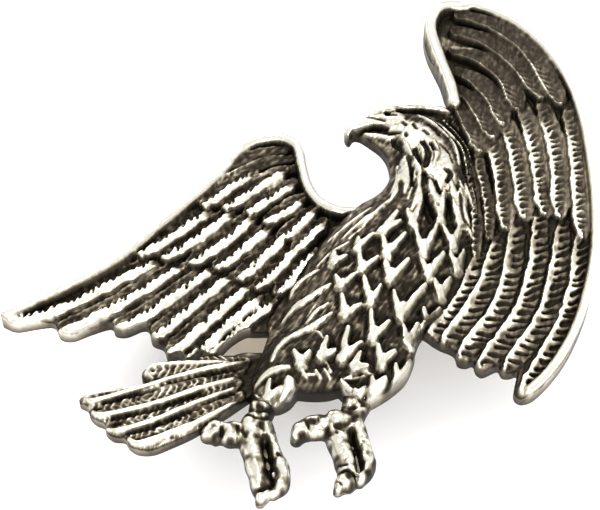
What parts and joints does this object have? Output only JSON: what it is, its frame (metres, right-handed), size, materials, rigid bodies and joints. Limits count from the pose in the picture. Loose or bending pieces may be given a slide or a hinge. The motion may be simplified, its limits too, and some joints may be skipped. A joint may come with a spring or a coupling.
{
  "type": "lapel badge",
  "caption": "Cast pewter eagle lapel badge with spread wings, soldered posts and butterfly clutches that pull off behind.",
  "frame": {"origin": "under the middle of the outline, level with the flat tops of the clutches the badge lies on", "axes": "+Z out of the badge's face, +Y towards the eagle's raised wing tip, +X towards that wing's side"},
  "size_m": [0.0518, 0.05, 0.0123],
  "materials": {
    "pewter": "antique silver pewter, polished high spots and dark patina in the recesses",
    "post": "nickel-plated steel",
    "solder": "dull solder",
    "clutch": "stamped bright brass",
    "jaw": "spring brass"
  },
  "bodies": {
    "badge": {"eagle_casting": "pewter", "post_left": "post", "post_right": "post", "solder_left": "solder", "solder_right": "solder"},
    "clutch_left": {"clutch_left_base_plate": "clutch", "clutch_left_cover": "clutch"},
    "clutch_left_a": {"clutch_left_jaw_a": "jaw"},
    "clutch_left_b": {"clutch_left_jaw_b": "jaw"},
    "clutch_right": {"clutch_right_base_plate": "clutch", "clutch_right_cover": "clutch"},
    "clutch_right_a": {"clutch_right_jaw_a": "jaw"},
    "clutch_right_b": {"clutch_right_jaw_b": "jaw"}
  },
  "joints": [
    {"name": "clutch_left_pull_off", "type": "slide", "parent": "badge", "child": "clutch_left", "axis": [0, 0, -1], "range_m": [0, 0.0075]},
    {"name": "clutch_right_pull_off", "type": "slide", "parent": "badge", "child": "clutch_right", "axis": [0, 0, -1], "range_m": [0, 0.0075]},
    {"name": "jaw_left_a_squeeze", "type": "slide", "parent": "clutch_left", "child": "clutch_left_a", "axis": [-1, 0, 0], "range_m": [0, 0.0006], "stiffness_N_per_m": 400, "springref_m": -0.0005},
    {"name": "jaw_left_b_squeeze", "type": "slide", "parent": "clutch_left", "child": "clutch_left_b", "axis": [1, 0, 0], "range_m": [0, 0.0006], "stiffness_N_per_m": 400, "springref_m": -0.0005},
    {"name": "jaw_right_a_squeeze", "type": "slide", "parent": "clutch_right", "child": "clutch_right_a", "axis": [-1, 0, 0], "range_m": [0, 0.0006], "stiffness_N_per_m": 400, "springref_m": -0.0005},
    {"name": "jaw_right_b_squeeze", "type": "slide", "parent": "clutch_right", "child": "clutch_right_b", "axis": [1, 0, 0], "range_m": [0, 0.0006], "stiffness_N_per_m": 400, "springref_m": -0.0005}
  ],
  "couplings": [
    {"joint": "jaw_left_b_squeeze", "follows": "jaw_left_a_squeeze", "ratio": 1},
    {"joint": "jaw_right_b_squeeze", "follows": "jaw_right_a_squeeze", "ratio": 1}
  ]
}
